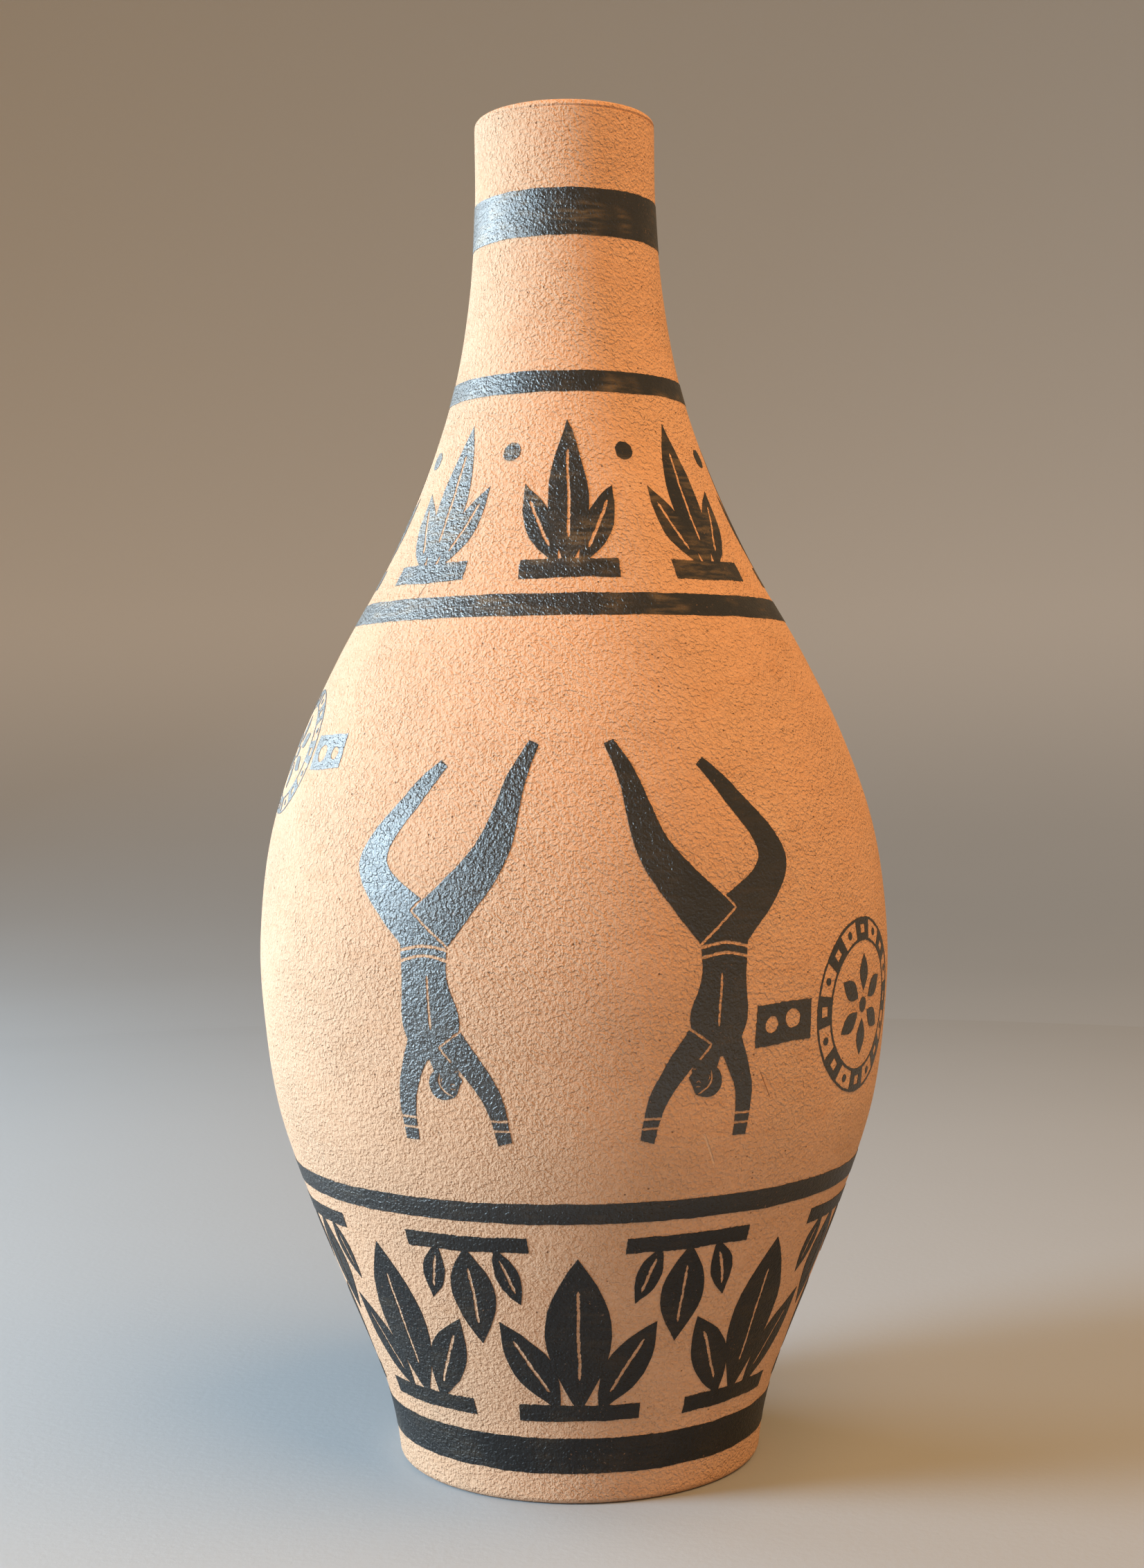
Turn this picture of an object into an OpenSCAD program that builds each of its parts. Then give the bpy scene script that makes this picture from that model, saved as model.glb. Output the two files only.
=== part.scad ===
// Tall bottle-shaped terracotta vase: four thrown clay sections luted together with half-lap
// joints, and a dark slip decoration painted on the outside. +Z is up, millimetres, and the
// origin is the centre of the foot, on the surface that the vase stands on.

/* [Vase] */
// Height from the standing surface to the lip
height = 450; // [400:5:500]
// Widest outer radius, at the belly
belly_r = 106; // [95:1:115]
// Thickness of the thrown wall
wall = 7; // [6:0.5:8]
// Thickness of the foot disc's rim, under the lower body
foot_t = 9; // [7:1:11]
// Radius of the true round bore in the neck
bore_r = 24.5; // [23:0.5:25]

/* [Luting joints] */
// Joint between the lower body and the shoulder section, just under the widest point
belly_joint_z = 154; // [140:1:160]
// Joint between the shoulder section and the neck
neck_joint_z = 352; // [345:1:365]
// Height of each half-lap tongue
lap = 6; // [4:1:8]

/* [Slip decoration] */
// Thickness of the slip layer
slip_t = 0.3; // [0.2:0.05:0.5]
// Lowest and highest level of the foot band
foot_band = [10.5, 22.5]; // [0:0.5:30]
// Lowest and highest level of the belly band
belly_band = [96.5, 103]; // [90:0.5:110]
// Lowest and highest level of the lower shoulder band
lower_shoulder_band = [280, 287]; // [275:0.5:290]
// Lowest and highest level of the upper shoulder band
upper_shoulder_band = [353.5, 360.5]; // [350:0.5:365]
// Lowest and highest level of the neck band
neck_band = [405.5, 421]; // [400:0.5:425]

/* [Hidden] */
$fn = 96;

clay = [0.86, 0.58, 0.38];
slip = [0.12, 0.12, 0.13];

// The silhouette of the standard vase as [height, outer radius], followed by a smooth curve
STANDARD_H = 450;
STANDARD_R = 106;
STATIONS = [
    [0, 61], [15, 63.2], [30, 67.4], [60, 79.3], [90, 91], [120, 100.7], [150, 105], [176, 106],
    [210, 102], [240, 92.4], [270, 78.4], [300, 61.6], [330, 48.1], [360, 38.3], [390, 32.9],
    [420, 30.6], [450, 30.4],
];
kz = height / STANDARD_H;
kr = belly_r / STANDARD_R;

// Slope of the silhouette at station i, from its neighbours
function slope(i) =
    let (a = max(i - 1, 0), b = min(i + 1, len(STATIONS) - 1))
    (STATIONS[b][1] - STATIONS[a][1]) / (STATIONS[b][0] - STATIONS[a][0]);

// The station at or below standard height z
function span(z, i = 0) =
    (i >= len(STATIONS) - 2 || z < STATIONS[i + 1][0]) ? i : span(z, i + 1);

// Hermite curve through the stations
function curve_r(z) =
    let (
        s = z / kz,
        i = span(s),
        p = STATIONS[i],
        q = STATIONS[i + 1],
        d = q[0] - p[0],
        t = (s - p[0]) / d
    )
    kr * (p[1] * (2 * t ^ 3 - 3 * t ^ 2 + 1) + slope(i) * d * (t ^ 3 - 2 * t ^ 2 + t)
        + q[1] * (3 * t ^ 2 - 2 * t ^ 3) + slope(i + 1) * d * (t ^ 3 - t ^ 2));

// The turned wall is a stack of short cones, so that clay and slip meet face to face
RINGS = 60;
ring_h = height / RINGS;
function outer_r(z) =
    let (k = min(floor(z / ring_h), RINGS - 1), t = z / ring_h - k)
    curve_r(k * ring_h) * (1 - t) + curve_r((k + 1) * ring_h) * t;

// Ring levels strictly between two heights
function levels(z0, z1) =
    [for (k = [ceil((z0 + 0.01) / ring_h) : floor((z1 - 0.01) / ring_h)]) k * ring_h];

function reversed(list) = [for (i = [len(list) - 1 : -1 : 0]) list[i]];
function outside(z0, z1, grow = 0) =
    [for (z = concat([z0], levels(z0, z1), [z1])) [outer_r(z) + grow, z]];

bore_z0 = 54 * ring_h;
function inner_r(z) = z >= bore_z0 - 0.01 ? bore_r : max(bore_r, outer_r(z) - wall);
function inside(z0, z1) =
    [for (z = concat([z0], levels(z0, min(z1, bore_z0)), z1 > bore_z0 ? [bore_z0, z1] : [z1]))
        [inner_r(z), z]];
function half_r(z) = outer_r(z) - wall / 2;

// A quarter round of radius r about [x, y], from angle a0 to a1
function quarter(x, y, r, a0, a1) =
    [for (i = [0 : 6]) let (a = a0 + (a1 - a0) * i / 6) [x + r * cos(a), y + r * sin(a)]];

lip_round = 2.2;
foot_round = 2.5;
boss_top = foot_t + lap;

// Thrown disc that closes the bottom, with a raised centre that the lower body sits around
module foot_disc() {
    r0 = outer_r(foot_round);
    color(clay) rotate_extrude() polygon(concat(
        [[0, 0]],
        quarter(r0 - foot_round, foot_round, foot_round, -90, 0),
        outside(foot_round + 0.5, foot_t),
        [[half_r(foot_t), foot_t], [half_r(boss_top), boss_top], [0, boss_top]]
    ));
}

// One thrown wall section from joint z0 to joint z1: its top tongue stands on the inner half,
// and its lower end laps over the tongue of the piece below
module wall_section(z0, z1) {
    color(clay) rotate_extrude() polygon(concat(
        outside(z0, z1),
        [[half_r(z1), z1], [half_r(z1 + lap), z1 + lap]],
        reversed(inside(z0 + lap, z1 + lap)),
        [[half_r(z0 + lap), z0 + lap], [half_r(z0), z0]]
    ));
}

module lower_body() { wall_section(foot_t, belly_joint_z); }
module shoulder_section() { wall_section(belly_joint_z, neck_joint_z); }

// Neck thrown as a collar, with a plain lip rounded inside and out
module neck() {
    z0 = neck_joint_z;
    top = height - lip_round;
    color(clay) rotate_extrude() polygon(concat(
        outside(z0, top),
        quarter(outer_r(height) - lip_round, top, lip_round, 8, 90),
        quarter(bore_r + lip_round, top, lip_round, 90, 180),
        reversed(inside(z0 + lap, top - 0.2)),
        [[half_r(z0 + lap), z0 + lap], [half_r(z0), z0]]
    ));
}

// A layer of slip all round the vase between two levels
module slip_ring(z0, z1) {
    color(slip) rotate_extrude() polygon(concat(
        outside(z0, z1), reversed(outside(z0, z1, slip_t))
    ));
}

module foot_slip_band() { slip_ring(foot_band[0] * kz, foot_band[1] * kz); }
module belly_slip_band() { slip_ring(belly_band[0] * kz, belly_band[1] * kz); }
module lower_shoulder_slip_band() {
    slip_ring(lower_shoulder_band[0] * kz, lower_shoulder_band[1] * kz);
}
module upper_shoulder_slip_band() {
    slip_ring(upper_shoulder_band[0] * kz, upper_shoulder_band[1] * kz);
}
module neck_slip_band() { slip_ring(neck_band[0] * kz, neck_band[1] * kz); }

// A painted shape is drawn as [degrees round the vase, standard height]. This gives the same
// point seen square on, in millimetres
function seen(p) = [outer_r(p[1] * kz) * sin(p[0]), p[1] * kz];

// Slip laid inside a flat outline (the children), centred az degrees round from the front
module painted(az, z0, z1) {
    color(slip) rotate([0, 0, az]) intersection() {
        slip_ring(z0 * kz, z1 * kz);
        rotate([90, 0, 0]) linear_extrude(height = belly_r + 10) children();
    }
}
module shape(points) { polygon([for (p = points) seen(p)]); }
module dot(p, r) { translate(seen(p)) circle(r = r * kz); }

// A pointed leaf standing on the origin
function leaf_outline(length, width) = concat(
    [for (i = [0 : 6]) [width / 2 * sin(30 * i), length * i / 6]],
    [for (i = [5 : -1 : 1]) [-width / 2 * sin(30 * i), length * i / 6]]
);
module leaf(p, length, width, turn = 0) {
    translate(seen(p)) rotate(turn) scale(kz) polygon(leaf_outline(length, width));
}
module bar(half, z0, z1) { shape([[-half, z0], [half, z0], [half, z1], [-half, z1]]); }

// The children painted eight times round the vase, first at az degrees from the front
REPEATS = 8;
module all_round(az, z0, z1) {
    for (k = [0 : REPEATS - 1]) painted(az + k * 360 / REPEATS, z0, z1) children();
}

// Shoulder frieze: three leaves on a bar, and a dot between one palmette and the next
module shoulder_palmettes() {
    all_round(0, 290, 348) {
        bar(14, 292, 298);
        leaf([0, 294], 50, 16);
        for (s = [-1, 1]) leaf([s * 3, 296], 30, 10, -s * 28);
        dot([22.5, 334], 3);
    }
}

// Lower frieze, upper row: three leaves that hang from a bar
module hanging_leaves() {
    all_round(22.5, 52, 93) {
        bar(13, 86.5, 91.5);
        leaf([0, 88], 33, 16, 180);
        for (s = [-1, 1]) leaf([s * 6, 88], 20, 8, 180 + s * 20);
    }
}

// Lower frieze, lower row: three leaves that rise from a bar
module rising_palmettes() {
    all_round(0, 27, 89) {
        bar(16, 28.5, 34);
        leaf([0, 31], 54, 18);
        for (s = [-1, 1]) leaf([s * 5, 32], 34, 12, -s * 26);
    }
}

// A tumbler on both hands. Each limb is its joints as [degrees, height, half thickness], given
// for the right-hand figure; the left-hand one is its mirror image
NEAR_ARM = [[12, 122, 2.2], [14, 136, 3], [20.5, 153, 4.2]];
FAR_ARM = [[29, 122, 2.2], [29, 137, 3], [26, 152, 4.2]];
NECK = [[22, 142, 2.6], [23, 150, 3.4]];
TRUNK = [[23.5, 147, 5.5], [24, 158, 9.5], [25, 172, 7.5], [25, 190, 9]];
NEAR_LEG = [[24, 186, 8], [14, 208, 5.5], [10, 230, 3], [7, 241, 1.6]];
FAR_LEG = [[26, 186, 8], [36, 205, 5.5], [29, 225, 3], [24, 235, 1.6]];
HEAD = [22, 140.5, 5.6];

// One side of a limb, s = 1 or -1
function limb_side(path, s) =
    [for (i = [0 : len(path) - 1])
        let (
            a = seen(path[max(i - 1, 0)]),
            b = seen(path[min(i + 1, len(path) - 1)]),
            d = b - a
        )
        seen(path[i]) + s * path[i][2] * kz * [-d[1], d[0]] / norm(d)];
module limb(path) { polygon(concat(limb_side(path, 1), reversed(limb_side(path, -1)))); }
module tumbler() {
    for (path = [NEAR_ARM, FAR_ARM, NECK, TRUNK, NEAR_LEG, FAR_LEG]) limb(path);
    dot(HEAD, HEAD[2]);
}
module right_tumbler() { painted(0, 118, 246) tumbler(); }
module left_tumbler() { painted(0, 118, 246) mirror([1, 0, 0]) tumbler(); }

// Roundel: two ring lines with square cells between them, and a flower of leaves in the middle
module roundel(az, z, r) {
    line = 0.9;
    cells = 8;
    petals = 6;
    inner = 0.72 * r;
    painted(az, z - r - 1, z + r + 1) translate([0, z * kz]) scale(kz) {
        difference() { circle(r = r); circle(r = r - line); }
        difference() { circle(r = inner); circle(r = inner - line); }
        for (i = [0 : cells - 1]) rotate(i * 360 / cells)
            translate([(r + inner) / 2, 0]) square([r - inner, 0.26 * r], center = true);
        for (i = [0 : petals - 1]) rotate(i * 360 / petals)
            translate([0, 0.16 * r]) polygon(leaf_outline(0.42 * r, 0.22 * r));
        circle(r = 0.09 * r);
    }
}
module right_roundel() { roundel(60, 156.5, 28); }
module left_roundel() { roundel(-76, 238.5, 20.5); }

// Small painted panel with two round clay eyes
module panel(az, z, w, h) {
    eye_r = 0.22 * h;
    painted(az, z - h / 2 - 1, z + h / 2 + 1) translate([0, z * kz]) scale(kz) difference() {
        square([w, h], center = true);
        for (x = [-0.23, 0.23]) translate([x * w, 0]) circle(r = eye_r);
    }
}
module right_panel() { panel(37.3, 155.3, 22.5, 12.5); }
module left_panel() { panel(-56.3, 239, 18.5, 11.5); }

foot_disc();
lower_body();
shoulder_section();
neck();
foot_slip_band();
belly_slip_band();
lower_shoulder_slip_band();
upper_shoulder_slip_band();
neck_slip_band();
shoulder_palmettes();
hanging_leaves();
rising_palmettes();
left_tumbler();
right_tumbler();
right_roundel();
right_panel();
left_roundel();
left_panel();
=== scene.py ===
import math

import bpy
from mathutils import Matrix, Vector
from mathutils.geometry import delaunay_2d_cdt


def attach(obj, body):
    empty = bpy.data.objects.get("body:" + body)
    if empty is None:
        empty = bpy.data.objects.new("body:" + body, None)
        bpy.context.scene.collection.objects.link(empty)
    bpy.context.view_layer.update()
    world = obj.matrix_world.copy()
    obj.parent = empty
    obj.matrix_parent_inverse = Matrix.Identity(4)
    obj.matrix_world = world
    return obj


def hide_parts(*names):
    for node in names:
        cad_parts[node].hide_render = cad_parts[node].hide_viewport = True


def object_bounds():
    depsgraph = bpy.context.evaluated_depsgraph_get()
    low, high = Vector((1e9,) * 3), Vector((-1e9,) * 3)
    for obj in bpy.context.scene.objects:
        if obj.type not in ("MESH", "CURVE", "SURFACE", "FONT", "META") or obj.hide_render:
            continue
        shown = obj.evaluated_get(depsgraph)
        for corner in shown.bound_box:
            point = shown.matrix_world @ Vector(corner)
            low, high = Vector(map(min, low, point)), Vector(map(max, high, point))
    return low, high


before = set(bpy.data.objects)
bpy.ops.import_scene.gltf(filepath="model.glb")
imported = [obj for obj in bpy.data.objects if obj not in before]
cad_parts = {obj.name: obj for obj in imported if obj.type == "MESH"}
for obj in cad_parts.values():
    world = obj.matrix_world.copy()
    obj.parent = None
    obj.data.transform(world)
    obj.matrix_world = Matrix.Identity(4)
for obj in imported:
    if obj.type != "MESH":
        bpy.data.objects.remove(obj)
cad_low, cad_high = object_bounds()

scene = bpy.context.scene


# ---- Camera -----------------------------------------------------------------------------
# A short telephoto stands a little over one and a half pot heights away, level with the
# widest part of the belly, and leans very slightly. Everything else is set out around it.

HEIGHT = cad_high.z - cad_low.z
EYE = Vector((0, -1.6305 * HEIGHT, 0.5422 * HEIGHT))
TILT_DOWN = math.radians(1.39)
LEAN = math.radians(0.686)

lens = bpy.data.cameras.new("camera")
lens.lens = 49.37
lens.sensor_width = 36
lens.clip_start = 0.05
camera = bpy.data.objects.new("camera", lens)
level = Matrix.Rotation(math.pi / 2 - TILT_DOWN, 4, "X")
camera.matrix_world = Matrix.Translation(EYE) @ level @ Matrix.Rotation(-LEAN, 4, "Z")
scene.collection.objects.link(camera)
scene.camera = camera


# ---- Thrown sections --------------------------------------------------------------------
# The pot is thrown in four parts and luted together: a foot disc, a lower body, a shoulder
# section and a neck. Each part laps over a tongue on the one below. The clay is pale red
# earthenware with a lot of fine grog, left bare, so it is matt, gritty and finely pitted.

WALL = 0.007
LAP = 0.006
FOOT_EDGE = 0.009
BELLY_JOINT = 0.154
NECK_JOINT = 0.352
BORE = 0.0245
BORE_LOW = 0.405
LIP_ROUND = 0.0022
LIP_GROOVE = 0.00035
FOOT_ROUND = 0.0025
FACETS = 240
# The silhouette as height and outer radius in millimetres, with a smooth curve through them
STATIONS = [
    (0, 61), (15, 63.2), (30, 67.4), (60, 79.3), (90, 91), (120, 100.7), (150, 105), (176, 106),
    (210, 102), (240, 92.4), (270, 78.4), (300, 61.6), (330, 48.1), (360, 38.3), (390, 32.9),
    (420, 30.6), (450, 30.4),
]


def slope(i):
    """How fast the radius grows with height at a station."""
    low_z, low_r = STATIONS[max(i - 1, 0)]
    high_z, high_r = STATIONS[min(i + 1, len(STATIONS) - 1)]
    return (high_r - low_r) / (high_z - low_z)


def outer(z):
    """Outer radius at a height, in metres."""
    z = min(max(z * 1000, 0), STATIONS[-1][0])
    i = max(k for k in range(len(STATIONS) - 1) if STATIONS[k][0] <= z)
    (z0, r0), (z1, r1) = STATIONS[i], STATIONS[i + 1]
    rise = z1 - z0
    t = (z - z0) / rise
    turn_in = slope(i) * rise * (t ** 3 - 2 * t ** 2 + t)
    turn_out = slope(i + 1) * rise * (t ** 3 - t ** 2)
    return (r0 * (2 * t ** 3 - 3 * t ** 2 + 1) + r1 * (3 * t ** 2 - 2 * t ** 3) + turn_in + turn_out) / 1000


def inner(z):
    """Inner radius at a height: the wall's thickness in, down to the round bore of the neck."""
    return BORE if z >= BORE_LOW else max(BORE, outer(z) - WALL)


def steps(z0, z1, step):
    """Heights from z0 to z1, both included, about a step apart."""
    count = max(1, round(abs(z1 - z0) / step))
    return [z0 + (z1 - z0) * k / count for k in range(count + 1)]


def rounded(x, z, r, a0, a1):
    """A quarter round about x, z, between two angles in degrees."""
    angles = [math.radians(a0 + (a1 - a0) * k / 6) for k in range(7)]
    return [(x + r * math.cos(a), z + r * math.sin(a)) for a in angles]


def tongue(z):
    """The half-lap step at a joint, from its root up to its top, at mid wall."""
    return [(outer(z) - WALL / 2, z), (outer(z + LAP) - WALL / 2, z + LAP)]


def skin(z0, z1):
    """The outside of the pot between two heights."""
    return [(outer(z), z) for z in steps(z0, z1, 0.0025)]


def lining(z0, z1):
    """The inside of the pot between two heights."""
    return [(inner(z), z) for z in steps(z0, z1, 0.006)]


boss_top = FOOT_EDGE + LAP
lip_low = HEIGHT - LIP_ROUND
sections = {
    "foot_disc": (
        [(0, 0), (0.02, 0), (0.04, 0)]
        + rounded(outer(FOOT_ROUND) - FOOT_ROUND, FOOT_ROUND, FOOT_ROUND, -90, 0)
        + skin(FOOT_ROUND, FOOT_EDGE)[1:] + tongue(FOOT_EDGE) + [(0.03, boss_top), (0, boss_top)]
    ),
    "lower_body": (
        skin(FOOT_EDGE, BELLY_JOINT) + tongue(BELLY_JOINT)
        + lining(BELLY_JOINT + LAP, boss_top) + tongue(FOOT_EDGE)[::-1]
    ),
    "shoulder_section": (
        skin(BELLY_JOINT, NECK_JOINT) + tongue(NECK_JOINT)
        + lining(NECK_JOINT + LAP, BELLY_JOINT + LAP) + tongue(BELLY_JOINT)[::-1]
    ),
    "neck": (
        skin(NECK_JOINT, lip_low - 0.0007) + [(outer(lip_low) - LIP_GROOVE, lip_low - 0.0003)]
        + rounded(outer(HEIGHT) - LIP_ROUND, lip_low, LIP_ROUND, 8, 90)
        + rounded(BORE + LIP_ROUND, lip_low, LIP_ROUND, 90, 180)
        + lining(lip_low, NECK_JOINT + LAP)[1:] + tongue(NECK_JOINT)[::-1]
    ),
}


class Wire:
    """A socket in a node tree. Arithmetic on it adds Math nodes, and make adds any other node."""

    def __init__(self, tree, socket=None):
        self.tree = tree
        self.socket = socket

    def make(self, kind, settings=None, values=None, out=0):
        """Adds a node with its settings, then the values or links of its sockets."""
        node = self.tree.nodes.new(kind)
        for name, value in (settings or {}).items():
            if name == "stops":
                first, last = list(node.color_ramp.elements)
                for place, shade in value:
                    node.color_ramp.elements.new(place).color = (*shade, 1)
                node.color_ramp.elements.remove(first)
                node.color_ramp.elements.remove(last)
            else:
                setattr(node, name, value)
        for name, value in (values or {}).items():
            if isinstance(value, Wire):
                self.tree.links.new(value.socket, node.inputs[name])
            else:
                node.inputs[name].default_value = value
        return Wire(self.tree, node.outputs[out] if len(node.outputs) else None)

    def math(self, operation, *values):
        """A Math node on the given numbers or wires."""
        return self.make("ShaderNodeMath", {"operation": operation}, dict(enumerate(values)))

    def __add__(self, other):
        return self.math("ADD", self, other)

    def __radd__(self, other):
        return self.math("ADD", other, self)

    def __sub__(self, other):
        return self.math("SUBTRACT", self, other)

    def __rsub__(self, other):
        return self.math("SUBTRACT", other, self)

    def __mul__(self, other):
        return self.math("MULTIPLY", self, other)

    def __rmul__(self, other):
        return self.math("MULTIPLY", other, self)

    def __truediv__(self, other):
        return self.math("DIVIDE", self, other)

    def split(self):
        """The X, Y and Z of a vector."""
        node = self.make("ShaderNodeSeparateXYZ", {}, {0: self}).socket.node
        return [Wire(self.tree, socket) for socket in node.outputs]

    def joined(self, x, y, z):
        """A vector from three numbers or wires."""
        return self.make("ShaderNodeCombineXYZ", {}, {0: x, 1: y, 2: z})

    def within(self, low, high):
        """0 at low, 1 at high and smooth between; low may be the larger."""
        settings = {"interpolation_type": "SMOOTHSTEP"}
        values = {"Value": self, "From Min": low, "From Max": high}
        return self.make("ShaderNodeMapRange", settings, values)

    def noise(self, size, detail=2.0, rough=0.5):
        """Soft lumps about size metres across at this place, from 0 to 1."""
        values = {"Vector": self, "Scale": 1 / size, "Detail": detail, "Roughness": rough}
        return self.make("ShaderNodeTexNoise", {}, values)

    def tinted(self, colour_a, colour_b):
        """Colour a where this is 0, and colour b where it is 1."""
        values = {0: self}
        for place, colour in ((6, colour_a), (7, colour_b)):
            values[place] = colour if isinstance(colour, Wire) else (*colour, 1)
        return self.make("ShaderNodeMix", {"data_type": "RGBA"}, values, 2)


def material(name, roughness, specular):
    """A new material: its place wire in Object coordinates and its shader node."""
    made = bpy.data.materials.new(name)
    made.use_nodes = True
    shader = made.node_tree.nodes["Principled BSDF"]
    shader.inputs["Roughness"].default_value = roughness
    shader.inputs["Specular IOR Level"].default_value = specular
    return made, Wire(made.node_tree).make("ShaderNodeTexCoord", out="Object"), shader


def finish(made, shader, colour, height, depth):
    """Joins the colour to the shader, and the height of the surface to a bump so many metres deep."""
    values = {"Strength": 1.0, "Distance": depth, "Height": height}
    bump = height.make("ShaderNodeBump", {}, values)
    made.node_tree.links.new(colour.socket, shader.inputs["Base Color"])
    made.node_tree.links.new(bump.socket, shader.inputs["Normal"])


def grog(place):
    """The height of the grains in the skin of the clay, about 0. They show through the slip too."""
    values = {"Vector": place, "Scale": 1250.0, "Smoothness": 0.7}
    lumps = place.make("ShaderNodeTexVoronoi", {"feature": "SMOOTH_F1"}, values, "Color").split()[0]
    patches = place.noise(0.03, 2.0, 0.5).within(0.25, 0.75) * 0.5 + 0.65
    return (lumps * 0.7 + place.noise(0.0005, 2.0, 0.6) * 0.7 - 0.7) * patches


def scored(around, up, degrees, height, slant, length, width):
    """1 along a short straight scratch at a place, leaning by a slant in degrees from upright."""
    x = math.radians(degrees) * outer(height)
    lean = math.radians(slant)
    along = (around - x) * math.sin(lean) + (up - height) * math.cos(lean)
    aside = (around - x) * math.cos(lean) - (up - height) * math.sin(lean)
    ends = along.math("ABSOLUTE", along).within(length / 2, length * 0.3)
    return ends * aside.math("ABSOLUTE", aside).within(width / 2, width * 0.2)


terracotta, place, shader = material("terracotta", 0.88, 0.25)
tone = place.noise(0.06, 3.0, 0.6).within(0.3, 0.7)
colour = tone.tinted((0.695, 0.400, 0.243), (0.755, 0.455, 0.285))
east, north, up = place.split()
smear = place.joined(east * 0.3, north * 0.3, up).noise(0.006, 4.0, 0.65).within(0.45, 0.80)
colour = (smear * 0.42).tinted(colour, (0.58, 0.285, 0.140))
bloom = place.noise(0.022, 3.0, 0.6).within(0.58, 0.85)
colour = (bloom * 0.30).tinted(colour, (0.86, 0.62, 0.44))
grain = place.noise(0.0009, 3.0, 0.7).within(0.34, 0.72)
colour = (grain * 0.4).tinted(colour, (0.83, 0.54, 0.35))
hollows = grog(place)
# The grog's hollows are tinted darker, as painted shade in the low spots of the bump.
colour = (hollows.within(0.0, -0.25) * 0.15).tinted(colour, (0.50, 0.240, 0.120))
turning = place.joined(east * 0.08, north * 0.08, up).noise(0.0011, 2.0, 0.6)
# Small pits are sunk into the bump and tinted nearly black, which is painted shade inside them.
pit_values = {"Vector": place, "Scale": 560.0}
pit_way = place.make("ShaderNodeTexVoronoi", {}, pit_values, "Distance")
pit_pick = place.make("ShaderNodeTexVoronoi", {}, pit_values, "Color").split()[0]
crowded = place.noise(0.035, 2.0, 0.5).within(0.35, 0.65) * 0.08 + 0.87
pits = (pit_pick - crowded).within(0.0, 0.05) * pit_way.within(0.24, 0.06)
colour = (pits * 0.75).tinted(colour, (0.13, 0.055, 0.028))
# A hairline crack by the shoulder band, a fine dark scratch, and a gouge that shows pale clay
around = east.math("ARCTAN2", east, 0 - north) * outer(0.12)
wander = around + (place.noise(0.004, 2.0, 0.6) - 0.5) * 0.003
radius_share = outer(0.288) / outer(0.12)
crack = scored(wander * radius_share, up, -44.5, 0.2885, 16, 0.017, 0.0005)
hair = scored(around * (outer(0.137) / outer(0.12)), up, 33.5, 0.137, -28, 0.012, 0.0005)
gouge = scored(around, up, 23.6, 0.118, -24, 0.013, 0.0011)
colour = (gouge * 0.6).tinted(colour, (0.86, 0.60, 0.42))
colour = ((crack + hair) * 0.7).tinted(colour, (0.20, 0.085, 0.04))
relief = hollows - pits * 0.6 + turning * 0.12 - crack * 0.5 - gouge * 0.4
finish(terracotta, shader, colour, relief, 0.0009)


def tree_inputs(tree, kinds):
    """Adds named inputs to a node tree: their identifiers, and their wires by name."""
    named = {}
    for name, kind in kinds.items():
        named[name] = tree.interface.new_socket(name, in_out="INPUT", socket_type="NodeSocket" + kind).identifier
    tree.interface.new_socket("Geometry", in_out="OUTPUT", socket_type="NodeSocketGeometry")
    given = tree.nodes.new("NodeGroupInput")
    return named, {socket.name: Wire(tree, socket) for socket in given.outputs if socket.name}


def end_tree(geometry, finish_wire):
    """Ends a tree in Realize Instances and Set Material."""
    real = geometry.make("GeometryNodeRealizeInstances", {}, {"Geometry": geometry})
    done = real.make("GeometryNodeSetMaterial", {}, {"Geometry": real, "Material": finish_wire})
    done.tree.links.new(done.socket, done.tree.nodes.new("NodeGroupOutput").inputs[0])


def evaluated(name, tree, named, settings):
    """A plain mesh object made by running a node tree, with its inputs set by name."""
    obj = bpy.data.objects.new(name, bpy.data.meshes.new("blank"))
    scene.collection.objects.link(obj)
    modifier = obj.modifiers.new(name, "NODES")
    modifier.node_group = tree
    for label, value in settings.items():
        modifier[named[label]] = value
    graph = bpy.context.evaluated_depsgraph_get()
    obj.data = bpy.data.meshes.new_from_object(obj.evaluated_get(graph))
    obj.modifiers.clear()
    obj.data.name = name
    obj.data.polygons.foreach_set("use_smooth", [True] * len(obj.data.polygons))
    obj.data.set_sharp_from_angle(angle=math.radians(35))
    return obj


def helper(name, points, faces=()):
    """A mesh object from points and faces. Those that a node tree reads are removed before the end."""
    mesh = bpy.data.meshes.new(name)
    mesh.from_pydata(points, [], faces)
    obj = bpy.data.objects.new(name, mesh)
    scene.collection.objects.link(obj)
    return obj


# The wheel sweeps a flat section round the axis: row k of a grid takes the radius and height
# of the section's k-th point, and the grid's other direction goes once round.
wheel = bpy.data.node_groups.new("wheel", "GeometryNodeTree")
wheel_inputs, ask = tree_inputs(wheel, {
    "Section": "Object", "Points": "Int", "Facets": "Int", "Material": "Material"})
given_section = Wire(wheel).make("GeometryNodeObjectInfo", {}, {"Object": ask["Section"]}, "Geometry")
columns = ask["Facets"] + 1
grid = Wire(wheel).make("GeometryNodeMeshGrid", {}, {"Vertices X": ask["Points"], "Vertices Y": columns})
number = Wire(wheel).make("GeometryNodeInputIndex")
row = Wire(wheel).math("FLOOR", (number + 0.5) / columns)
turn = (number - row * columns) / ask["Facets"] * math.tau
spot = Wire(wheel).make("GeometryNodeInputPosition")
radius, _, level = Wire(wheel).make(
    "GeometryNodeSampleIndex", {"data_type": "FLOAT_VECTOR"},
    {"Geometry": given_section, "Value": spot, "Index": row}).split()
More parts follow.
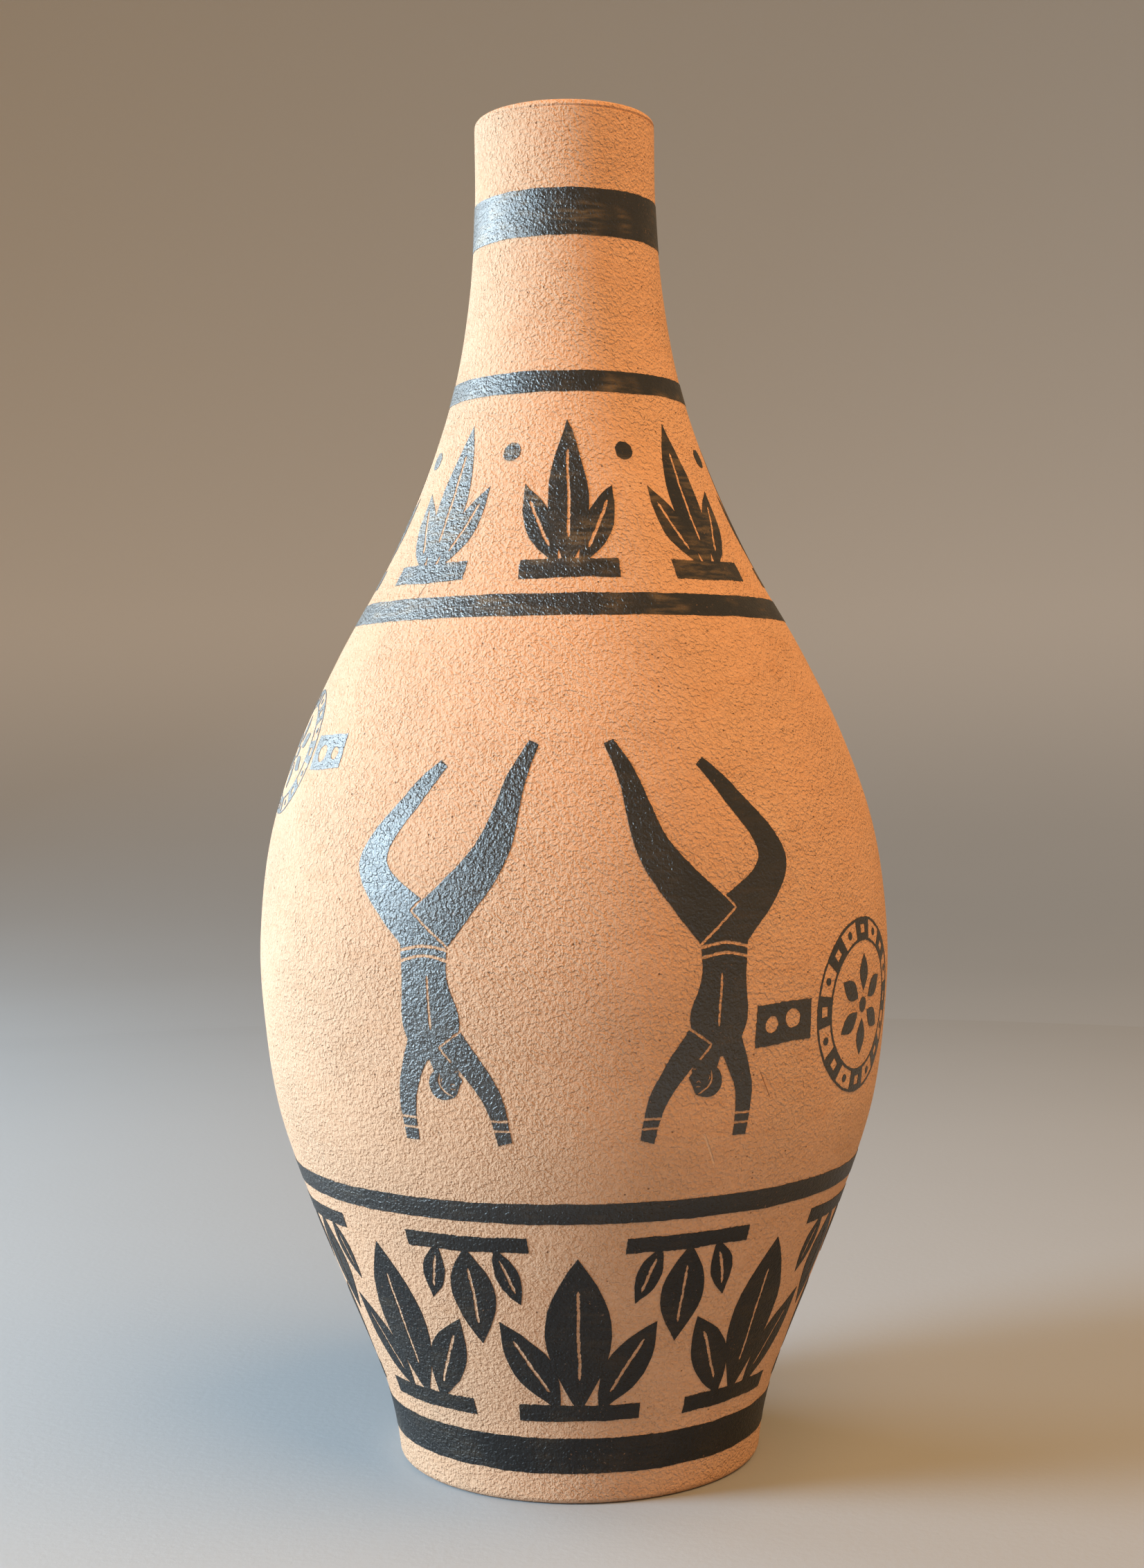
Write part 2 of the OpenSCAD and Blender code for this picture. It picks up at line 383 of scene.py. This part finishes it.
swept = Wire(wheel).make("GeometryNodeSetPosition", {}, {
    "Geometry": grid,
    "Position": radius.joined(radius * radius.math("SINE", turn), 0 - radius * radius.math("COSINE", turn), level)})
swept = swept.make("GeometryNodeMergeByDistance", {}, {"Geometry": swept, "Distance": 0.000005})
end_tree(swept, ask["Material"])

for node, section in sections.items():
    closed = section if node == "foot_disc" else section + section[:1]
    outline = helper(node + "_section", [(r, 0, z) for r, z in closed])
    piece = evaluated("fired_" + node, wheel, wheel_inputs, {
        "Section": outline, "Points": len(closed), "Facets": FACETS, "Material": terracotta})
    bpy.data.objects.remove(outline)
    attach(piece, "root")
    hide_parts(node)


# ---- Slip bands -------------------------------------------------------------------------
# Five rings of dark slip are laid on with a full brush while the pot turns on the wheel, so
# their edges waver a little. The slip has fired to a satin blue-black that keeps the grit.

BANDS = {
    "foot_slip_band": (10.5, 22.5),
    "belly_slip_band": (96.5, 103),
    "lower_shoulder_slip_band": (280, 287),
    "upper_shoulder_slip_band": (353.5, 360.5),
    "neck_slip_band": (405.5, 421),
}
SLIP_PROUD = 0.00016
SLIP_KEY = 0.0004

dark_slip, place, shader = material("dark_slip", 0.45, 0.15)
tone = place.noise(0.03, 3.0, 0.6).within(0.35, 0.68)
colour = tone.tinted((0.0080, 0.0078, 0.0082), (0.015, 0.0135, 0.0125))
east, north, up = place.split()
streaks = place.joined(east * 0.35, north * 0.35, up * 2.4).noise(0.004, 3.0, 0.6)
thin = streaks.within(0.38, 0.70) * place.noise(0.016, 2.0, 0.5).within(0.40, 0.62)
thin = thin * (up.within(0.24, 0.30) * 0.75 + 0.12)
colour = thin.tinted(colour, (0.150, 0.098, 0.045))
worn = place.noise(0.0008, 2.0, 0.6).within(0.66, 0.74) * place.noise(0.02, 2.0, 0.5).within(0.42, 0.66)
colour = (worn * 0.7).tinted(colour, (0.36, 0.20, 0.11))
burnished = dark_slip.node_tree.nodes.new("ShaderNodeBsdfPrincipled")
burnished.inputs["IOR"].default_value = 2.0
rough = streaks.within(0.3, 0.75) * 0.10 + 0.35
dark_slip.node_tree.links.new(rough.socket, burnished.inputs["Roughness"])
for layer in (shader, burnished):
    finish(dark_slip, layer, colour, grog(place) * 0.8 + streaks * 0.15, 0.0006)
gloss = up.within(0.08, 0.14) * 0.8 + 0.2
both = gloss.make("ShaderNodeMixShader", {}, {
    "Fac": gloss, 1: Wire(dark_slip.node_tree, shader.outputs[0]), 2: Wire(dark_slip.node_tree, burnished.outputs[0])})
dark_slip.node_tree.links.new(both.socket, dark_slip.node_tree.nodes["Material Output"].inputs["Surface"])

# Painting lies flat first, with degrees round the pot as X, millimetres of height as Y, and 0
# or 1 as Z for its back and its face. The wrap sets it at its places and bends it round.
wrap = bpy.data.node_groups.new("wrap", "GeometryNodeTree")
wrap_inputs, ask = tree_inputs(wrap, {
    "Painting": "Object", "Places": "Object", "Silhouette": "Object", "Proud": "Float", "Key": "Float",
    "Waver": "Float", "Material": "Material"})
flat, places, silhouette = (
    Wire(wrap).make("GeometryNodeObjectInfo", {}, {"Object": ask[name]}, "Geometry")
    for name in ("Painting", "Places", "Silhouette"))
spots = Wire(wrap).make("GeometryNodeMeshToPoints", {}, {0: places})
laid = Wire(wrap).make("GeometryNodeInstanceOnPoints", {}, {"Points": spots, "Instance": flat})
laid = Wire(wrap).make("GeometryNodeRealizeInstances", {}, {"Geometry": laid})
spot = Wire(wrap).make("GeometryNodeInputPosition")
degrees, height_mm, lift = spot.split()


def radius_at(height):
    """The silhouette's radius at a height in millimetres, between its points 1 mm apart."""
    floor = height.math("FLOOR", height)
    share = height - floor
    ends = [
        height.make("GeometryNodeSampleIndex", {"data_type": "FLOAT_VECTOR", "clamp": True},
                    {"Geometry": silhouette, "Value": spot, "Index": index}).split()[0]
        for index in (floor, floor + 1)]
    return ends[0] * (1 - share) + ends[1] * share


def bent(angle, height, radius):
    """The place at an angle in degrees, a height in millimetres and a radius in metres."""
    turn = angle * math.radians(1)
    return angle.joined(radius * angle.math("SINE", turn), 0 - radius * angle.math("COSINE", turn), height * 0.001)


true_radius = radius_at(height_mm)
on_pot = bent(degrees, height_mm, true_radius)
broad = on_pot.make("ShaderNodeTexNoise", {}, {"Vector": on_pot, "Scale": 90.0, "Detail": 1.0}, "Color").split()
fine = on_pot.make("ShaderNodeTexNoise", {}, {"Vector": on_pot, "Scale": 1150.0, "Detail": 1.0}, "Color").split()
aside = ((broad[0] - 0.5) * 1.6 + (fine[0] - 0.5) * 1.1) * ask["Waver"]
above = ((broad[1] - 0.5) * 1.6 + (fine[1] - 0.5) * 1.1) * ask["Waver"]
degrees = degrees + aside / true_radius * math.degrees(0.001)
height_mm = height_mm + above
new_radius = radius_at(height_mm) + lift * (ask["Proud"] + ask["Key"]) - ask["Key"]
laid = Wire(wrap).make("GeometryNodeSetPosition", {}, {
    "Geometry": laid, "Position": bent(degrees, height_mm, new_radius)})
end_tree(laid, ask["Material"])
silhouette_points = helper("silhouette", [(outer(mm / 1000), 0, mm / 1000) for mm in range(451)])


def painted(name, node, points, faces, places=(0,), waver=0.7):
    """Wraps a flat painting round the pot at each of its places, as one piece of slip."""
    flat = helper("flat", points, faces)
    centres = helper("places", [(degrees, 0, 0) for degrees in places])
    piece = evaluated(name, wrap, wrap_inputs, {
        "Painting": flat, "Places": centres, "Silhouette": silhouette_points, "Proud": SLIP_PROUD,
        "Key": SLIP_KEY, "Waver": waver, "Material": dark_slip})
    bpy.data.objects.remove(flat)
    bpy.data.objects.remove(centres)
    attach(piece, "root")
    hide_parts(node)
    return piece


def ring(low, high):
    """A band all round between two heights: corner points in millimetres, and quads."""
    heights = steps(low, high, 1.2)
    loop = [(z, 1) for z in heights] + [(high, 0), (low, 0)]
    turns = 360
    points = [(degrees, z, lift) for degrees in range(turns) for z, lift in loop]
    faces = []
    for degrees in range(turns):
        here, after = degrees * len(loop), (degrees + 1) % turns * len(loop)
        for k in range(len(loop)):
            up = (k + 1) % len(loop)
            faces.append((here + k, after + k, after + up, here + up))
    return points, faces


for node, (low, high) in BANDS.items():
    painted(node.replace("slip", "brushed"), node, *ring(low, high), waver=0.55)


# ---- Shoulder frieze --------------------------------------------------------------------
# Eight palmettes of three leaves stand on bars round the shoulder, with a dot between each and
# the next. They are brushed in slip.

def mm_per_degree(z):
    """How far one degree is round the pot at a height, both in millimetres."""
    return math.radians(1) * outer(z / 1000) * 1000


def flow(points, closed, step=0.7):
    """Points close together on a smooth line; a third value makes a point a sharp corner."""
    count = len(points)
    path = []
    for i in range(count if closed else count - 1):
        b, c = points[i], points[(i + 1) % count]
        a = points[i - 1] if len(b) == 2 and (closed or i > 0) else b
        d = points[(i + 2) % count] if len(c) == 2 and (closed or i + 2 < count) else c
        span = math.hypot((c[0] - b[0]) * mm_per_degree(b[1]), c[1] - b[1])
        parts = max(1, round(span / step))
        for k in range(parts):
            t = k / parts
            path.append(tuple(
                0.5 * (2 * q + (r - p) * t + (2 * p - 5 * q + 4 * r - s) * t ** 2 + (3 * q - p - 3 * r + s) * t ** 3)
                for p, q, r, s in zip(a[:2], b[:2], c[:2], d[:2])))
    return path if closed else path + [points[-1][:2]]


class Painting:
    """Shapes of slip and of bare clay, flat in degrees and millimetres. A later one covers an earlier."""

    def __init__(self):
        self.shapes = []

    def fill(self, outline, slip="slip"):
        """A shape inside an outline, in slip or, with None, bare."""
        self.shapes.append((slip, flow(outline, True)))

    def dot(self, x, y, r, slip="slip", sides=28):
        """A round spot of radius r in millimetres."""
        across = r / mm_per_degree(y)
        turns = [math.tau * k / sides for k in range(sides)]
        self.shapes.append((slip, [(x + across * math.cos(a), y + r * math.sin(a)) for a in turns]))

    def line(self, points, width=1.0, slip=None, closed=False, tips=0.35):
        """A line of a width in millimetres, whose tips narrow to a share of it; bare if slip is None."""
        path = flow(points, closed, 0.6)
        count = len(path)
        edges = []
        for i, (x, y) in enumerate(path):
            before = path[i - 1] if closed or i > 0 else path[i]
            after = path[(i + 1) % count] if closed or i + 1 < count else path[i]
            scale = mm_per_degree(y)
            across, along = (after[0] - before[0]) * scale, after[1] - before[1]
            size = math.hypot(across, along) or 1
            half = width / 2 * (1 + 0.16 * math.sin(1.9 * i) * math.sin(0.7 * i + width * count))
            if not closed:
                half *= min(1, tips + min(i, count - 1 - i) * 0.2)
            edges.append((-along / size * half / scale, across / size * half))
        for i in range(count if closed else count - 1):
            j = (i + 1) % count
            (x0, y0), (x1, y1), (u0, v0), (u1, v1) = path[i], path[j], edges[i], edges[j]
            right, left = [(x0 - u0, y0 - v0), (x1 - u1, y1 - v1)], [(x1 + u1, y1 + v1), (x0 + u0, y0 + v0)]
            self.shapes += [(slip, right + left[:1]), (slip, right[:1] + left)]

    def triangles(self):
        """Points, and triangles with the slip that each is in, with bare ones left out."""
        corners, faces, slips = [], [], []
        for slip, shape in self.shapes:
            twice_area = sum(a[0] * b[1] - b[0] * a[1] for a, b in zip(shape, shape[1:] + shape[:1]))
            if abs(twice_area) > 0.0001:
                faces.append(list(range(len(corners), len(corners) + len(shape))))
                corners += shape if twice_area > 0 else shape[::-1]
                slips.append(slip)
        wide, high = [x for x, _ in corners], [y for _, y in corners]
        columns = steps(min(wide), max(wide), 2.7)
        corners += [(x, y) for x in columns for y in steps(min(high), max(high), 4.3)]
        found = delaunay_2d_cdt([Vector(corner) for corner in corners], [], faces, 0, 1e-5, True)
        kept = [(face, slips[max(under)]) for face, under in zip(found[2], found[5]) if under]
        return found[0], [(face, slip) for face, slip in kept if slip]

    def slab(self, wanted="slip", found=None):
        """The shapes in one slip as a closed slab, from 0 at its back to 1 at its face."""
        places, kept = found or self.triangles()
        front = [face for face, slip in kept if slip == wanted]
        used = sorted({i for face in front for i in face})
        number = {i: k for k, i in enumerate(used)}
        back = len(used)
        points = [(places[i][0], places[i][1], lift) for lift in (1, 0) for i in used]
        front = [tuple(number[i] for i in face) for face in front]
        edges = {(a, b) for face in front for a, b in zip(face, face[1:] + face[:1])}
        walls = [(b, a, a + back, b + back) for a, b in edges if (b, a) not in edges]
        return points, front + [tuple(i + back for i in face[::-1]) for face in front] + sorted(walls)

def leaf(x, y, length, width, turn=0):
    """A pointed leaf in degrees and millimetres, from its foot, turned clockwise from upright."""
    lean = math.radians(turn)
    sides = [(width / 2 * math.sin(math.pi * k / 12), length * k / 12) for k in range(13)]
    sides += [(-right, up) for right, up in sides[11:0:-1]]
    scale = mm_per_degree(y)
    return [(x + (right * math.cos(lean) + up * math.sin(lean)) / scale,
             y + up * math.cos(lean) - right * math.sin(lean)) for right, up in sides]


def fan(painting, x, y, leaves):
    """Leaves about a foot, each as right in degrees, up, length, width and turn, with a scratched rib."""
    for right, up, length, width, turn in leaves:
        painting.shapes.append(("slip", leaf(x + right, y + up, length, width, turn)))
        low, high = [
            leaf(x + right, y + up, length * share, 0.01, turn)[12] for share in (0.22, 0.8)]
        painting.line([low, high], 1.0)


def bar(painting, half, low, high):
    """A block of slip to so many degrees each side, between two levels in millimetres."""
    painting.fill([(-half, low - 0.2, 0), (half, low + 0.2, 0), (half, high + 0.2, 0), (-half, high - 0.1, 0)])


REPEATS = [k * 45 for k in range(8)]

palmette = Painting()
bar(palmette, 14, 292, 298)
fan(palmette, 0, 294, [(-3, 2, 30, 10, -28), (3, 2, 30, 10, 28), (0, 0, 50, 16, 0)])
palmette.dot(22.5, 334, 3)
painted("painted_shoulder_palmettes", "shoulder_palmettes", *palmette.slab(), REPEATS)


# ---- Lower frieze -----------------------------------------------------------------------
# Leaves hang from bars under the belly band, and between them palmettes rise from bars above
# the foot band. Each leaf is brushed in slip with a rib scratched down it.

hanging = Painting()
bar(hanging, 13, 86.5, 91.5)
fan(hanging, 0, 88, [(-6, 0, 20, 8, -160), (6, 0, 20, 8, 160), (0, 0, 33, 16, 180)])
painted("painted_hanging_leaves", "hanging_leaves", *hanging.slab(), [turn + 22.5 for turn in REPEATS])

rising = Painting()
bar(rising, 16, 28.5, 34)
fan(rising, 0, 31, [(-5, 1, 34, 12, -26), (5, 1, 34, 12, 26), (0, 0, 54, 18, 0)])
painted("painted_rising_palmettes", "rising_palmettes", *rising.slab(), REPEATS)


# ---- Roundels and panels ----------------------------------------------------------------
# A round badge sits low on the right and a smaller one high on the left. Each has a ring of
# eight pierced blocks and dots between two thin lines, a flower inside, and a panel beside it.

RIGHT_ROUNDEL = (60, 156.5, 27.9)
LEFT_ROUNDEL = (-76, 238.5, 20.5)
RING_SHARE = 0.745


def roundel(x, y, size):
    """A badge of radius size about x degrees and y millimetres."""
    badge = Painting()
    across = size / mm_per_degree(y)

    def at(right, up):
        """A point at shares of the radius right of and above the centre."""
        return (x + right * across, y + up * size)

    def round_arc(radius, start, end, parts):
        """Points on an arc, with angles in degrees turned clockwise from the top."""
        turns = [math.radians(start + (end - start) * k / parts) for k in range(parts + 1)]
        return [at(radius * math.sin(a), radius * math.cos(a)) for a in turns]

    line_width = 0.028 * size
    badge.line(round_arc(0.985, 0, 345, 23), line_width, "slip", closed=True)
    badge.line(round_arc(RING_SHARE, 0, 345, 23), line_width, "slip", closed=True)
    for turn in range(0, 360, 45):
        block = round_arc(0.99, turn - 11, turn + 11, 4) + round_arc(RING_SHARE, turn + 12, turn - 12, 4)
        badge.shapes.append(("slip", block))
        corners = [(0.92, -3.6), (0.92, 3.6), (0.815, 4.1), (0.815, -4.1)]
        badge.shapes.append((None, [round_arc(r, turn + a, turn + a, 1)[0] for r, a in corners]))
        badge.dot(*round_arc(0.87, turn + 22.5, turn + 22.5, 1)[0], 0.045 * size, sides=14)
    for turn in range(0, 360, 60):
        foot = round_arc(0.16, turn, turn, 1)[0]
        badge.shapes.append(("slip", leaf(*foot, 0.42 * size, 0.22 * size, turn)))
    badge.dot(x, y, 0.09 * size)
    return badge.slab()


def panel(x, y, wide, tall, eyes):
    """A block of slip with two round eyes, each given as right, up and radius in millimetres."""
    block = Painting()
    half = wide / 2 / mm_per_degree(y)
    block.fill([(x - half, y - tall / 2 - 0.4, 0), (x + half, y - tall / 2 + 0.4, 0),
                (x + half * 0.97, y + tall / 2 + 0.4, 0), (x - half, y + tall / 2 - 0.2, 0)])
    for right, up, r in eyes:
        block.dot(x + right / mm_per_degree(y), y + up, r, None)
    return block.slab()


painted("painted_right_roundel", "right_roundel", *roundel(*RIGHT_ROUNDEL), waver=0.5)
painted("painted_left_roundel", "left_roundel", *roundel(*LEFT_ROUNDEL), waver=0.4)
painted("painted_right_panel", "right_panel", *panel(37.2, 155.2, 22.5, 12.5, [(-5.4, 0, 2.5), (3.1, 0.9, 3.1)]))
painted("painted_left_panel", "left_panel", *panel(-56.2, 238.6, 18.8, 10.8, [(-3.3, -0.3, 2.7), (4.8, -0.4, 2.0)]))


# ---- Tumblers ---------------------------------------------------------------------------
# Two tumblers stand on their hands on the front of the belly, each the mirror image of the
# other. They are brushed in slip, and scratched through to the clay between their limbs.

# Joints of the right-hand figure, as degrees, height and half thickness in millimetres
NEAR_ARM = [(12, 122, 2.2), (14, 136, 3), (20.5, 153, 4.2)]
FAR_ARM = [(29, 122, 2.2), (29, 137, 3), (26, 152, 4.2)]
NECK = [(22, 142, 2.6), (23, 150, 3.4)]
TRUNK = [(23.5, 147, 5.5), (24, 158, 9.5), (25, 172, 7.5), (25, 190, 9)]
NEAR_LEG = [(24, 186, 8), (14, 208, 5.5), (10, 230, 3), (7, 241, 1.6)]
FAR_LEG = [(26, 186, 8), (36, 205, 5.5), (29, 225, 3), (24, 235, 1.6)]
HEAD = (22, 140.5, 5.6)

# A face in profile looking left, in shares of the head's half height: brow, nose, lips and chin
# in even thirds from the hairline down
PROFILE = [
    (0.1, 1), (-0.55, 0.8), (-0.8, 0.33), (-1.02, -0.12), (-0.82, -0.33), (-0.88, -0.5), (-0.8, -0.6),
    (-0.8, -0.95), (-0.35, -1), (0.15, -0.6), (0.7, -0.45), (0.9, 0.2), (0.65, 0.8)]
FACE = [
    [(-0.62, 0.42), (-0.32, 0.42)],
    [(-0.6, 0.2), (-0.45, 0.12), (-0.32, 0.2)],
    [(-0.82, -0.55), (-0.6, -0.53)],
    [(0.1, 0.15), (0.2, -0.05), (0.1, -0.2)],
    [(-0.45, 0.8), (0, 0.55), (0.3, 0.1), (0.25, -0.45)]]


def limb(joints):
    """The outline round a limb, as wide at each joint as its half thickness each side."""
    left, right = [], []
    for i, (x, y, half) in enumerate(joints):
        before, after = joints[max(i - 1, 0)], joints[min(i + 1, len(joints) - 1)]
        scale = mm_per_degree(y)
        across, along = (after[0] - before[0]) * scale, after[1] - before[1]
        size = math.hypot(across, along)
        end = (0,) if i in (0, len(joints) - 1) else ()
        left.append((x - along / size * half / scale, y + across / size * half) + end)
        right.append((x + along / size * half / scale, y - across / size * half) + end)
    return left + right[::-1]


def tumbler(side):
    """The figure on the right with side 1, or its mirror image on the left with side -1."""
    figure = Painting()

    def mirrored(points):
        """The points on the side that the figure stands on."""
        return [(side * point[0],) + tuple(point[1:]) for point in points]

    def on_head(points):
        """Points of the head, which hangs upside down."""
        x, y, half = HEAD
        return mirrored([(x + right * half / mm_per_degree(y), y - up * half) for right, up in points])

    for joints in (FAR_ARM, FAR_LEG, NECK, TRUNK, NEAR_LEG, NEAR_ARM):
        outline = mirrored(limb(joints))
        if joints in (NEAR_LEG, NEAR_ARM):
            figure.line(outline, 1.6, closed=True)
        figure.fill(outline)
    for y in (126, 129):
        for x in (12.7, 29):
            figure.line(mirrored([(x - 2.2, y), (x + 2.2, y)]), 0.8)
    figure.line(mirrored([(19.5, 176), (25, 178), (30, 176)]), 1.0)
    figure.line(mirrored([(19.2, 179), (25, 181), (30.3, 179)]), 1.0)
    figure.line(mirrored([(24, 156), (24.4, 172)]), 0.9)
    figure.fill(on_head(PROFILE))
    for points in FACE:
        figure.line(on_head(points), 0.6)
    return figure.slab()


painted("painted_left_tumbler", "left_tumbler", *tumbler(-1), waver=0.45)
painted("painted_right_tumbler", "right_tumbler", *tumbler(1), waver=0.45)


# ---- Studio -----------------------------------------------------------------------------
# The pot stands on pale paper that turns up into a round wall a good way off. A cool window
# on the left lights it, a weak warm one fills in from the right, and a warm sky lies over all.

PAPER_EDGE = 1.1
PAPER_TURN = 2.8
PAPER_TOP = 5.0
paper, place, shader = material("paper", 0.7, 0.2)
shade = place.noise(0.5, 3.0, 0.55).tinted((0.33, 0.36, 0.39), (0.37, 0.40, 0.43))
# The paper turns lighter up the wall, as painted light on the far wall that the lamps barely reach.
shade = place.split()[2].within(0.0, 0.45).tinted(shade, (0.67, 0.67, 0.67))
finish(paper, shader, shade, place.noise(0.003, 3.0, 0.6), 0.0001)
floor_rows = [(0.0, 0), (0.4, 0), (PAPER_EDGE, 0)]
wall_rows = [
    (PAPER_EDGE + PAPER_TURN * math.sin(a), PAPER_TURN * (1 - math.cos(a)))
    for a in steps(0, math.pi / 2, math.pi / 32)]
wall_rows.append((PAPER_EDGE + PAPER_TURN, PAPER_TOP))


def stage_ring(name, rows):
    """A round sheet about the axis through the given radii and heights, facing inwards."""
    spokes = 96
    points = []
    faces = []
    for row, (r, z) in enumerate(rows):
        for k in range(spokes):
            turn = math.tau * k / spokes
            points.append((r * math.sin(turn), -r * math.cos(turn), z))
            if row:
                low, after = (row - 1) * spokes, (k + 1) % spokes
                faces.append((low + k, low + spokes + k, low + spokes + after, low + after))
    sheet = helper(name, points, faces)
    sheet.data.materials.append(paper)
    sheet.data.polygons.foreach_set("use_smooth", [True] * len(faces))
    return sheet


stage_ring("floor", floor_rows)
wall = stage_ring("wall", wall_rows)
wall.visible_shadow = False
wall.visible_diffuse = False
wall.visible_glossy = False


def softbox(name, degrees, rise, away, width, tall, watts, colour):
    """An area light, so many degrees round the pot and up, turned to the pot's middle."""
    light = bpy.data.lights.new(name, "AREA")
    light.shape = "RECTANGLE"
    light.size = width
    light.size_y = tall
    light.energy = watts
    light.color = colour
    turn, up = math.radians(degrees), math.radians(rise)
    way = Vector((math.cos(up) * math.sin(turn), -math.cos(up) * math.cos(turn), math.sin(up)))
    lamp = bpy.data.objects.new(name, light)
    lamp.location = Vector((0, 0, HEIGHT / 2)) + way * away
    lamp.rotation_euler = way.to_track_quat("Z", "Y").to_euler()
    lamp.visible_camera = False
    scene.collection.objects.link(lamp)
    return lamp


softbox("window", -75, 15, 1.5, 0.5, 0.8, 42, (0.65, 0.88, 1.05))
softbox("window_edge", -120, 14, 1.5, 0.9, 0.8, 13, (0.65, 0.88, 1.05))
gleam = softbox("window_gleam", -108, 10, 1.5, 1.0, 1.3, 26, (0.85, 0.95, 1.0))
gleam.visible_diffuse = False
room = softbox("room", 52, 58, 1.6, 1.4, 1.4, 32, (1.0, 0.56, 0.23))
room.visible_glossy = False

sky = bpy.data.worlds.new("sky")
sky.use_nodes = True
sky.node_tree.nodes["Background"].inputs["Color"].default_value = (0.29, 0.205, 0.125, 1)
sky.node_tree.nodes["Background"].inputs["Strength"].default_value = 1.0
scene.world = sky
scene.view_settings.view_transform = "Standard"

bpy.data.objects.remove(silhouette_points)
